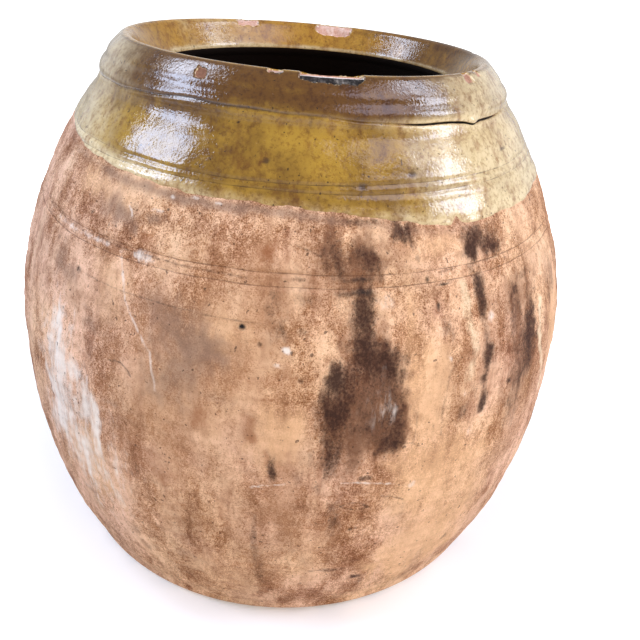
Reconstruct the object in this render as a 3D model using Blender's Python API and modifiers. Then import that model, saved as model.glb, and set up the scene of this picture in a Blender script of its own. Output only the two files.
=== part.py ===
"""Terracotta olive jar: thrown sections luted together, with a lead glaze over mouth and shoulder."""

import math

import bpy

# Outer wall of the jar, in metres
JAR_HEIGHT = 0.410
BELLY_HEIGHT = 0.190
BELLY_RADIUS = 0.230
HEEL_RADIUS = 0.199
HEEL_HEIGHT = 0.014
HEEL_ROUNDING = 0.012
UPPER_FALL = 1.97
LOWER_FALL = 2.60

# Thickness of the walls
BELLY_WALL = 0.014
FOOT_WALL = 0.015

# Mouth and collar band, measured from the outer edge of the rim
RIM_RADIUS = 0.1445
RIM_WIDTH = 0.0095
BEVEL_WIDTH = 0.0115
THROAT_DEPTH = 0.023
THROAT_ROUND = 0.0025
COLLAR_HEIGHT = 0.025
COLLAR_THICKNESS = 0.0075
COLLAR_SEAT_LEAN = 0.50
COLLAR_LEAN = 0.62
COLLAR_TOP_ROUND = 0.0050
COLLAR_FOOT_ROUND = 0.0022
COLLAR_RIDGES_BELOW_TOP = (0.0085, 0.0195)
COLLAR_RIDGE_DEPTH = 0.0008
SHOULDER_STEP = 0.0120

# Joints between the sections, and how they lap
SLAB_JOINT = 0.016
LOWER_JOINT_BELOW_BELLY = 0.0235
BAND_JOINT_BELOW_COLLAR = 0.0845
LAP_HEIGHT = 0.006
JOINT_GAP = 0.0003

# Scored lines
SCORE_WIDTH = 0.0028
SCORE_DEPTH = 0.0011
BAND_SCORE_ABOVE_JOINT = 0.0075
SHOULDER_SCORES_BELOW_COLLAR = (0.0293, 0.0343)

# Glaze
GLAZE_REACH_BELOW_COLLAR = 0.045
GLAZE_THICKNESS = 0.0006
GLAZE_GAP = 0.0003

TURN_STEPS = 48

# Levels and radii that follow from the sizes above
neck_height = JAR_HEIGHT - COLLAR_HEIGHT
throat_height = JAR_HEIGHT - THROAT_DEPTH
band_joint = neck_height - BAND_JOINT_BELOW_COLLAR
lower_joint = BELLY_HEIGHT - LOWER_JOINT_BELOW_BELLY
slab_floor = SLAB_JOINT + LAP_HEIGHT
mouth_radius = RIM_RADIUS - RIM_WIDTH
throat_radius = mouth_radius - BEVEL_WIDTH


def swell(height, belly, upper, lower):
    """Radius of a wall that falls away from the belly as a power of the distance above or below it."""
    (end_height, end_radius), fall = (upper, UPPER_FALL) if height > BELLY_HEIGHT else (lower, LOWER_FALL)
    share = (height - BELLY_HEIGHT) / (end_height - BELLY_HEIGHT)
    return belly - (belly - end_radius) * share**fall


def outer_radius(height):
    return swell(height, BELLY_RADIUS, (neck_height, RIM_RADIUS + SHOULDER_STEP), (HEEL_HEIGHT, HEEL_RADIUS))


def inner_radius(height):
    lower = (slab_floor, HEEL_RADIUS - FOOT_WALL)
    return swell(height, BELLY_RADIUS - BELLY_WALL, (throat_height, throat_radius), lower)


def seat_radius(height):
    """The cone on which the collar sits, wider towards its foot."""
    return RIM_RADIUS - COLLAR_THICKNESS + COLLAR_SEAT_LEAN * (JAR_HEIGHT - height)


def between(start, end, count):
    """Evenly spaced heights that leave out both ends."""
    return [start + (end - start) * i / (count + 1) for i in range(1, count + 1)]


def arc(centre, radius, start, end, count):
    """Points of an arc in the outline's plane; angles in degrees, from +X towards +Z."""
    angles = [math.radians(start + (end - start) * i / (count - 1)) for i in range(count)]
    return [(centre[0] + radius * math.cos(a), centre[1] + radius * math.sin(a)) for a in angles]


def scored_line(height):
    """A V scored into the outer wall, from its upper lip to its lower one."""
    half = SCORE_WIDTH / 2
    return [
        (outer_radius(height + half), height + half),
        (outer_radius(height) - SCORE_DEPTH, height),
        (outer_radius(height - half), height - half),
    ]


def outside(start, end, count):
    return [(outer_radius(z), z) for z in between(start, end, count)]


def inside(start, end, count):
    return [(inner_radius(z), z) for z in between(start, end, count)]


def lap(height, gap):
    """Half-lap of two sections, from outside to inside: gap lifts the upper one off the lower one's tongue."""
    low, high = height + gap, height + LAP_HEIGHT + gap
    middle = (outer_radius(height) + inner_radius(height)) / 2 + gap
    return [(outer_radius(low), low), (middle, low), (middle, high), (inner_radius(high), high)]


def scored_lap(height, gap):
    """The same joint with a scored line along it, so that each section carries one lip of the V."""
    upper_lip, root, lower_lip = scored_line(height + gap)
    return [upper_lip if gap else lower_lip, root] + lap(height, gap)[1:]


def offset(outline, distance):
    """The outline moved off the clay, to the left of its direction, with mitred corners."""
    sides = []
    for (x0, z0), (x1, z1) in zip(outline, outline[1:]):
        length = math.hypot(x1 - x0, z1 - z0)
        sides.append(((z0 - z1) / length, (x1 - x0) / length))
    moved = []
    for i, (x, z) in enumerate(outline):
        ax, az = sides[max(i - 1, 0)]
        bx, bz = sides[min(i, len(sides) - 1)]
        reach = distance / (1 + ax * bx + az * bz)
        moved.append((x + reach * (ax + bx), z + reach * (az + bz)))
    return moved


# Outlines of the clay that the glaze covers, each from the throat outwards and down
throat_edge = arc((throat_radius + THROAT_ROUND, throat_height), THROAT_ROUND, 225, 158, 3)
mouth_face = throat_edge + [(mouth_radius, JAR_HEIGHT)]

collar_foot = neck_height + JOINT_GAP
corner_centre = (RIM_RADIUS - COLLAR_TOP_ROUND, JAR_HEIGHT - COLLAR_TOP_ROUND)
top_corner = arc(corner_centre, COLLAR_TOP_ROUND, 90, 20, 4)
upper_ridge, lower_ridge = COLLAR_RIDGES_BELOW_TOP
ridges = []
for quarter in range(5):
    below = upper_ridge + (lower_ridge - upper_ridge) * quarter / 4
    wave = COLLAR_RIDGE_DEPTH * math.cos(math.tau * quarter / 4)
    ridges.append((RIM_RADIUS + COLLAR_LEAN * below + wave, JAR_HEIGHT - below))
foot_centre = (ridges[-1][0] - COLLAR_FOOT_ROUND, collar_foot + COLLAR_FOOT_ROUND)
foot_corner = arc(foot_centre, COLLAR_FOOT_ROUND, 0, -80, 3)
collar_face = top_corner + ridges + foot_corner

upper_score, lower_score = (neck_height - below for below in SHOULDER_SCORES_BELOW_COLLAR)
glaze_edge = neck_height - GLAZE_REACH_BELOW_COLLAR
shoulder_face = (
    [(outer_radius(neck_height), neck_height)]
    + outside(neck_height, upper_score, 2)
    + scored_line(upper_score)
    + scored_line(lower_score)
    + [(outer_radius(glaze_edge), glaze_edge)]
)

# Section outlines run along the top outwards, down the outer side, in along the bottom and up the inner side
slab_rim = lap(SLAB_JOINT, 0)[:3][::-1]
heel_corner = [
    (
        HEEL_RADIUS - HEEL_ROUNDING * (1 - math.sin(math.radians(turn))),
        HEEL_HEIGHT * (1 - math.cos(math.radians(turn))),
    )
    for turn in range(90, -1, -18)
]
base_slab = [(0, slab_floor)] + slab_rim + heel_corner + [(0, 0)]

lower_wall = (
    lap(lower_joint, 0)[::-1]
    + outside(lower_joint, SLAB_JOINT, 6)
    + lap(SLAB_JOINT, JOINT_GAP)
    + inside(slab_floor, lower_joint + LAP_HEIGHT, 4)
)

belly_wall = (
    scored_lap(band_joint, 0)[::-1]
    + outside(band_joint, lower_joint, 6)
    + lap(lower_joint, JOINT_GAP)
    + inside(lower_joint + LAP_HEIGHT, band_joint + LAP_HEIGHT, 4)
)

neck_rebate = neck_height - LAP_HEIGHT
rebate_radius = seat_radius(neck_height)
shoulder_wall = (
    [(inner_radius(neck_rebate), neck_rebate), (rebate_radius, neck_rebate), (rebate_radius, neck_height)]
    + shoulder_face
    + scored_line(band_joint + BAND_SCORE_ABOVE_JOINT)
    + scored_lap(band_joint, JOINT_GAP)
    + inside(band_joint + LAP_HEIGHT, neck_rebate, 3)
)

neck_foot = neck_rebate + JOINT_GAP
neck_ring = mouth_face + [
    (seat_radius(JAR_HEIGHT) - JOINT_GAP, JAR_HEIGHT),
    (rebate_radius - JOINT_GAP, neck_height),
    (rebate_radius - JOINT_GAP, neck_foot),
    (inner_radius(neck_foot), neck_foot),
]

rim_collar = [(seat_radius(JAR_HEIGHT), JAR_HEIGHT)] + collar_face + [(seat_radius(collar_foot), collar_foot)]

glazed_face = mouth_face + collar_face[:-1] + shoulder_face
glaze_coat = offset(glazed_face, GLAZE_GAP + GLAZE_THICKNESS) + offset(glazed_face, GLAZE_GAP)[::-1]


def turned(name, outline, colour, roughness, on_axis=False):
    """A solid of revolution, with its own material, from an outline that runs down its outer side."""
    count = len(outline)
    edges = [(i, (i + 1) % count) for i in range(count - on_axis)]
    mesh = bpy.data.meshes.new(name)
    mesh.from_pydata([(x, 0, z) for x, z in outline], edges, [])
    material = bpy.data.materials.new(name)
    material.use_nodes = True
    shader = material.node_tree.nodes["Principled BSDF"]
    shader.inputs["Base Color"].default_value = (*colour, 1)
    shader.inputs["Roughness"].default_value = roughness
    mesh.materials.append(material)
    piece = bpy.data.objects.new(name, mesh)
    jar.objects.link(piece)
    screw = piece.modifiers.new("Turn", "SCREW")
    screw.steps = screw.render_steps = TURN_STEPS
    screw.use_merge_vertices = True
    screw.merge_threshold = 0.00001
    screw.use_smooth_shade = True


for old in list(bpy.data.objects):
    bpy.data.objects.remove(old)
jar = bpy.data.collections.new("olive_jar")
bpy.context.scene.collection.children.link(jar)

turned("base_slab", base_slab, (0.42, 0.20, 0.11), 0.9, on_axis=True)
turned("lower_wall", lower_wall, (0.52, 0.27, 0.16), 0.9)
turned("belly_wall", belly_wall, (0.55, 0.29, 0.18), 0.9)
turned("shoulder_wall", shoulder_wall, (0.50, 0.26, 0.15), 0.9)
turned("neck_ring", neck_ring, (0.48, 0.25, 0.15), 0.9)
turned("rim_collar", rim_collar, (0.45, 0.22, 0.12), 0.9)
turned("glaze_coat", glaze_coat, (0.42, 0.30, 0.08), 0.25)
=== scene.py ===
# %% [markdown]
# # A terracotta olive jar: thrown, glazed and weathered
# The frame gives the jar as evenly turned sections. A jar thrown by hand is never that even: its mouth
# leans, the collar's foot wanders, the wall keeps finger lines, and long use has chipped the glaze and
# stained the clay. This script keeps the sections and their sizes, and gives each one a denser surface
# and a real finish.

import bpy
import numpy as np
from mathutils import Matrix, Vector


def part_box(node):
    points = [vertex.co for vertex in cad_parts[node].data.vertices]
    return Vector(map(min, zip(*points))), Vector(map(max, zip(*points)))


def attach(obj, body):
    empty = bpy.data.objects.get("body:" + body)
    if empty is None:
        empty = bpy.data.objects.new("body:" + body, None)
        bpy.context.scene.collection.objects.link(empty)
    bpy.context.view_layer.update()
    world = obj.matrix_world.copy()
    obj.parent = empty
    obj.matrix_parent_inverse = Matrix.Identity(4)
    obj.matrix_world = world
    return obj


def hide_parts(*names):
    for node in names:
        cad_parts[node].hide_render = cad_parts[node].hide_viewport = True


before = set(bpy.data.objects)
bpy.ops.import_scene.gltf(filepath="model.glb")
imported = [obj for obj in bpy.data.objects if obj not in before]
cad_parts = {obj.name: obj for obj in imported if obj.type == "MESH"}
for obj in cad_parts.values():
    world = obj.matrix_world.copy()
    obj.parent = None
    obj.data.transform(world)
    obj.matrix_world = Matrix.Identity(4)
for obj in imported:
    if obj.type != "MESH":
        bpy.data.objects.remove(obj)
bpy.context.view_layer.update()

# %% [markdown]
# ## The jar's outline
# Heights of the joints come from the frame's own boxes. Between them the wall falls away from the belly
# as a power of the distance above or below it, outside and inside. One could trace the outline point by
# point, but a formula has no kinks and gives any number of rows. Angles run from the front (-Y) towards
# the right (+X), in degrees.

# %% Heights, radii and walls
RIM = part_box("neck_ring")[1][2]
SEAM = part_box("rim_collar")[0][2]
BAND_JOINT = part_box("shoulder_wall")[0][2]
LOWER_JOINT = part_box("belly_wall")[0][2]
SLAB_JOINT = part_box("lower_wall")[0][2]
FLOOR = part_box("base_slab")[1][2]
NECK_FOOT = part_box("neck_ring")[0][2]
LAP = FLOOR - SLAB_JOINT
BELLY_HEIGHT, BELLY_RADIUS, BELLY_WALL = 0.190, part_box("belly_wall")[1][0], 0.014
NECK_END, THROAT_END = (0.385, 0.1565), (0.387, 0.1235)  # height and radius
HEEL_HEIGHT, HEEL_RADIUS, FOOT_RADIUS = 0.014, 0.199, 0.184
UPPER_FALL, LOWER_FALL = 1.97, 2.6


def swell(z, belly, upper, lower):
    """Radius at height z: the belly's, less a power of the share of the way to either end."""
    up = np.clip((z - BELLY_HEIGHT) / (upper[0] - BELLY_HEIGHT), 0, None) ** UPPER_FALL
    down = np.clip((BELLY_HEIGHT - z) / (BELLY_HEIGHT - lower[0]), 0, None) ** LOWER_FALL
    return belly - (belly - upper[1]) * up - (belly - lower[1]) * down


def outer_wall(z):
    """Radius of the wall's outer face, from the heel to the neck."""
    return swell(np.asarray(z, float), BELLY_RADIUS, NECK_END, (HEEL_HEIGHT, HEEL_RADIUS))


def inner_wall(z):
    """Radius of the wall's inner face, from the floor to the throat."""
    return swell(np.asarray(z, float), BELLY_RADIUS - BELLY_WALL, THROAT_END, (FLOOR, FOOT_RADIUS))


joints = [round(1000 * height) for height in (SLAB_JOINT, LOWER_JOINT, BAND_JOINT, SEAM)]
print(f"belly {2000 * BELLY_RADIUS:.0f} mm across, joints at {joints} mm, rim at {1000 * RIM:.0f} mm")

# %% [markdown]
# ## The face round the mouth
# Above the seam the collar leans in like a cone; below it the shoulder falls away. Two soft finger rolls
# run round the collar, with a hollow between them and another under the seam. They could be separate
# beads, but on the real jar they are one skin of clay, so they are bumps on a single face.

# %% Rolls round the mouth
COLLAR_LEAN, COLLAR_FOOT, COLLAR_PROUD = 0.84, 0.3905, 0.0005
UPPER_ROLL, LOWER_ROLL = 0.4005, 0.3895
UPPER_HOLLOW, LOWER_HOLLOW = 0.3955, 0.3780


def smooth_step(x, low, high):
    """0 below low, 1 above high and 3t^2 - 2t^3 between them."""
    t = np.clip((x - low) / (high - low), 0, 1)
    return t * t * (3 - 2 * t)


def hump(x, centre, half):
    """A bell of height 1: e to minus the square of the distance in half-widths."""
    return np.exp(-(((x - centre) / half) ** 2))


def outer_face(z):
    """Radius of the outer face: a cone above the seam, the wall below it, rolls and hollows added."""
    cone = outer_wall(SEAM) + COLLAR_PROUD + COLLAR_LEAN * (COLLAR_FOOT - z)
    share = smooth_step(z, SEAM - 0.0010, SEAM + 0.0095)
    rolls = 0.0009 * hump(z, UPPER_ROLL, 0.0034) + 0.0012 * hump(z, LOWER_ROLL, 0.0042)
    hollows = 0.0005 * hump(z, UPPER_HOLLOW, 0.0026) + 0.0010 * hump(z, LOWER_HOLLOW, 0.0048)
    return outer_wall(z) * (1 - share) + cone * share + rolls - hollows


print(f"outer face {1000 * outer_face(SEAM):.1f} mm from the axis at the seam")


# %% Outlines as rows of points
def curve(points, count):
    """Catmull-Rom curve through (radius, height) points: each stretch is a cubic that leaves a point
    along the chord of its neighbours. Gives count rows, evenly spaced along it."""
    p = np.array(points, float)
    p = np.vstack([2 * p[0] - p[1], p, 2 * p[-1] - p[-2]])
    t = np.linspace(0, 1, 16, endpoint=False)[:, None]
    a, b, c, d = (p[i:len(p) - 3 + i][:, None] for i in range(4))
    square, cube = (2 * a - 5 * b + 4 * c - d) * t**2, (3 * b - a - 3 * c + d) * t**3
    dense = 0.5 * (2 * b + (c - a) * t + square + cube)
    dense = np.vstack([dense.reshape(-1, 2), p[-2]])
    along = np.r_[0, np.cumsum(np.hypot(*np.diff(dense, axis=0).T))]
    even = np.linspace(0, along[-1], count)
    return np.stack([np.interp(even, along, dense[:, k]) for k in (0, 1)], 1)


def rows_between(heights, counts, radius=outer_face):
    """Rows of (radius, height) from height to height, with its own number of rows in each stretch."""
    stretches = [np.linspace(a, b, n, endpoint=False) for a, b, n in zip(heights, heights[1:], counts)]
    z = np.r_[np.concatenate(stretches), heights[-1]]
    return np.stack([radius(z), z], 1)


shoulder = rows_between((SEAM, BAND_JOINT), (50,))
print(f"the shoulder is {1000 * np.hypot(*np.diff(shoulder, axis=0).T).sum():.0f} mm long down the wall")

# %% [markdown]
# ## The hand of the potter
# Every point goes through one function, so that neighbouring sections still meet edge to edge. It adds a
# slow wobble, finger lines, scored lines, a mouth that dips to the right and the back, and a collar foot
# that climbs at the left front. Noise could come from a texture, but a sum of sine waves from a fixed
# seed needs nothing else.

# %% Smooth noise and angles
def waves(points, length, seed, count=24):
    """Smooth noise, mostly between -1.5 and 1.5: sine waves of nearly one length in random directions,
    added up and divided by the root of their number."""
    rng = np.random.default_rng(seed)
    heading = rng.normal(size=(count, 3))
    heading /= np.linalg.norm(heading, axis=1)[:, None]
    steps = heading * (2 * np.pi / length * rng.uniform(0.7, 1.4, count))[:, None]
    starts = rng.uniform(0, 2 * np.pi, count)
    total = np.zeros(points.shape[:-1])
    for step, start in zip(steps, starts):
        total += np.sin(points @ step + start)
    return total / np.sqrt(count)


def from_angle(theta, centre):
    """Signed degrees from a centre, by the short way round."""
    return (theta - centre + 180) % 360 - 180


def near(theta, angle, half):
    """A bell of height 1 round an angle: e to minus the square of the degrees from it in half-widths."""
    return hump(from_angle(theta, angle), 0, half)


def place(r, z, theta):
    """Point (r sin theta, -r cos theta, z) at radius r, height z and angle theta."""
    turn = np.radians(theta)
    return np.stack(np.broadcast_arrays(r * np.sin(turn), -r * np.cos(turn), z), -1)


sample = waves(place(BELLY_RADIUS, BELLY_HEIGHT, np.arange(360.0)), 0.030, 1)
print(f"noise round the belly from {sample.min():.1f} to {sample.max():.1f}")

# %% [markdown]
# The scored lines were cut with a pointed stick while the jar turned: a close pair on the shoulder, with
# a faint line under it, and a wider pair at the top of the belly, with a faint line between. Each wanders
# by up to 0.9 mm and varies in depth. A bump in the material would be quicker, but cut lines catch the
# light and stay in the mesh.

# %% Scored lines
SHOULDER_PAIR, BELLY_PAIR = (0.3557, 0.3507), (0.3080, BAND_JOINT)
FAINT_LINES = (0.3455, 0.3045)
SCORE_HALF, SCORE_DEEP, FAINT_DEEP = 0.0012, 0.0011, 0.0003


def score_height(theta, height):
    """Height of a scored line round the jar: two sine waves whose starts depend on the line."""
    turn = np.radians(theta)
    start = 900 * height
    return height + 0.0006 * np.sin(2 * turn + start) + 0.0003 * np.sin(5 * turn + 2 * start)


def score_depth(theta, z):
    """Depth of the scored lines: a bell across each, a little deeper and shallower by turns."""
    depth = np.zeros(np.broadcast(theta, z).shape)
    for height in (*SHOULDER_PAIR, *BELLY_PAIR, *FAINT_LINES):
        deep = FAINT_DEEP if height in FAINT_LINES else SCORE_DEEP
        pressure = 0.8 + 0.2 * np.sin(3 * np.radians(theta) + 500 * height)
        depth += deep * pressure * hump(z, score_height(theta, height), SCORE_HALF)
    return depth


def pair_masks(theta, z, pair):
    """Millimetres above the middle of a pair of scored lines, and half the distance between the two. The
    materials work out the distance to the nearer line from them, and darken the colour along it."""
    upper, lower = (score_height(theta, height) for height in pair)
    return {"score": 1000 * (z - (upper + lower) / 2), "score_half": 500 * (upper - lower)}


deepest = score_depth(np.arange(360.0), np.array(BELLY_PAIR[0])).max()
print(f"scored lines up to {1000 * deepest:.1f} mm deep")

# %% [markdown]
# The collar's foot was smeared down onto the shoulder by hand. Its edge climbs at the left front, sinks
# at the right, where it has opened into a crack, and ends there in a lump. All of it could be sculpted,
# but bells and sine waves round the axis give the same and can be changed by a number.

# %% Seam and throwing
LUMP_ANGLE = 44.5
LEAN_RIGHT, LEAN_BACK = 0.0151, 0.0173
FINGER_PITCHES = (0.0093, 0.0148)


def seam_rise(theta):
    """How far the collar's foot stands above its mean height: two wide bells, a ripple of sine waves and
    a dip at the lump."""
    turn = np.radians(theta)
    drift = 0.0060 * near(theta, -20, 34) - 0.0016 * near(theta, 54, 18)
    ripple = 0.00035 * np.sin(11 * turn + 1) + 0.00025 * np.sin(23 * turn)
    ripple = ripple + 0.0006 * np.sin(3 * turn + 1) * np.cos(turn)
    return drift + ripple - 0.0012 * near(theta, LUMP_ANGLE, 2.2)


def crack_share(theta):
    """1 where the seam has opened, at the right front, and 0 where it is closed: a step up times a step
    down."""
    return smooth_step(theta, 14, 30) * (1 - smooth_step(theta, 52, 66))


def crack_shade(theta, z):
    """Painted shade in the open seam: a bell across it."""
    return 1.5 * crack_share(theta) * hump(z, SEAM, 0.0012)


def thrown(r, z, theta, face=True):
    """Places an outline round the axis with wobble, lean, seam, scored lines and finger lines. Hidden and
    inner rows (face=False) take only the wobble and the lean."""
    r, z, theta = np.broadcast_arrays(np.asarray(r, float), np.asarray(z, float), np.asarray(theta, float))
    turn = np.radians(theta)
    rise = z / RIM
    evenly = 0.0014 * rise**3 * np.cos(2 * turn) + 0.0007 * np.cos(3 * turn + 2 + 3 * rise)
    grow = evenly
    if face:
        here = place(r, z, theta)
        slip = seam_rise(theta) * hump(z, SEAM, 0.0095)
        close, wide = (2 * np.pi * z / pitch for pitch in FINGER_PITCHES)
        fingers = np.sin(close - turn) + 0.8 * np.sin(wide + turn + 1)
        glazed = smooth_step(z, 0.325, 0.345)
        fine = (0.00016 * waves(here, 0.012, 4) + 0.00015 * fingers) * (1 - 0.5 * glazed)
        lumps = 0.00045 * waves(here, 0.045, 3) + fine
        grow = grow + lumps * smooth_step(z, 0.006, 0.03) * (1 - 0.6 * smooth_step(z, 0.376, 0.384))
        at_rim = smooth_step(z, 0.400, 0.409)
        grow = grow * (1 - at_rim) + evenly * at_rim
        grow = grow + outer_face(z + slip) - outer_face(z) - score_depth(theta, z)
        grow = grow - (0.0008 + 0.0020 * crack_share(theta)) * hump(z, SEAM, 0.0008)
        grow = grow + 0.0018 * near(theta, LUMP_ANGLE, 1.6) * hump(z, SEAM + 0.0022, 0.0020)
        z = z + slip
    r = r + grow * smooth_step(r, 0, 0.12)
    x, y = r * np.sin(turn), -r * np.cos(turn)
    lean = smooth_step(z, 0.380, 0.404)
    return np.stack([x, y, z - lean * (LEAN_RIGHT * x + LEAN_BACK * y)], -1)


print(f"the collar's foot wanders by {1000 * np.ptp(seam_rise(np.arange(-180, 180))):.1f} mm")

# %% [markdown]
# ## From grids to meshes
# A piece is a grid of rows along its outline by columns round the axis. The grid closes round the axis,
# and either closes along the outline, as a ring does, or ends in poles on the axis, as the slab does. A
# lathe modifier would do for an even shape, but here each point has its own place, so the faces are
# worked out as one array of indices.

# %% Grid to mesh
def grid_mesh(name, rows, masks, poles=(), sharp_rows=()):
    """Quads between the rows and columns of an (m, n, 3) grid that closes on itself or in two poles."""
    m, n, _ = rows.shape
    index = np.arange(m * n).reshape(m, n)
    points = rows.reshape(-1, 3)
    fans = np.zeros((0, 3), int)
    if len(poles):
        points = np.vstack([points, poles])
        first, last = np.full(n, m * n), np.full(n, m * n + 1)
        top = np.stack([first, index[0], np.roll(index[0], -1)], -1)
        fans = np.vstack([top, np.stack([last, np.roll(index[-1], -1), index[-1]], -1)])
    else:
        index = np.vstack([index, index[:1]])
    east = np.roll(index, -1, axis=1)
    quads = np.stack([index[:-1], index[1:], east[1:], east[:-1]], -1).reshape(-1, 4)
    sizes = np.r_[np.full(len(quads), 4), np.full(len(fans), 3)]
    mesh = bpy.data.meshes.new(name)
    mesh.vertices.add(len(points))
    mesh.vertices.foreach_set("co", points.astype(np.float32).ravel())
    mesh.loops.add(int(sizes.sum()))
    mesh.loops.foreach_set("vertex_index", np.r_[quads.ravel(), fans.ravel()].astype(np.int32))
    mesh.polygons.add(len(sizes))
    mesh.polygons.foreach_set("loop_start", np.r_[0, np.cumsum(sizes)[:-1]].astype(np.int32))
    mesh.update(calc_edges=True)
    mesh.shade_smooth()
    ends = np.zeros(len(mesh.edges) * 2, np.int32)
    mesh.edges.foreach_get("vertices", ends)
    row = ends.reshape(-1, 2) // n
    sharp = (row[:, 0] == row[:, 1]) & np.isin(row[:, 0], list(sharp_rows))
    mesh.attributes.new("sharp_edge", "BOOLEAN", "EDGE").data.foreach_set("value", sharp)
    for mask, values in masks.items():
        padded = np.r_[np.broadcast_to(values, (m, n)).ravel(), np.zeros(len(points) - m * n)]
        mesh.attributes.new(mask, "FLOAT", "POINT").data.foreach_set("value", padded.astype(np.float32))
    return mesh


# %% Pieces of the jar
def add_piece(mesh, material, node):
    """A new object at the origin that stands for one node of the frame."""
    mesh.materials.append(material)
    piece = bpy.data.objects.new(mesh.name, mesh)
    bpy.context.scene.collection.objects.link(piece)
    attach(piece, "root")
    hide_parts(node)
    mesh.calc_loop_triangles()
    size = [round(1000 * side) for side in piece.dimensions]
    print(f"{piece.name}: {len(mesh.loop_triangles)} triangles, {size} mm")


def turn_grid(columns, rows):
    """Angles of a grid, the same in every row: evenly spaced ones less a sine, so that the front, which
    has the finest marks, gets twice as many columns as the mean."""
    even = np.linspace(-np.pi, np.pi, columns, endpoint=False)
    return np.broadcast_to(np.degrees(even - 0.5 * np.sin(even)), (rows, columns))


print(f"of 360 columns, those in front are {np.diff(turn_grid(360, 1)[0]).min():.2f} degrees apart")
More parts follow.
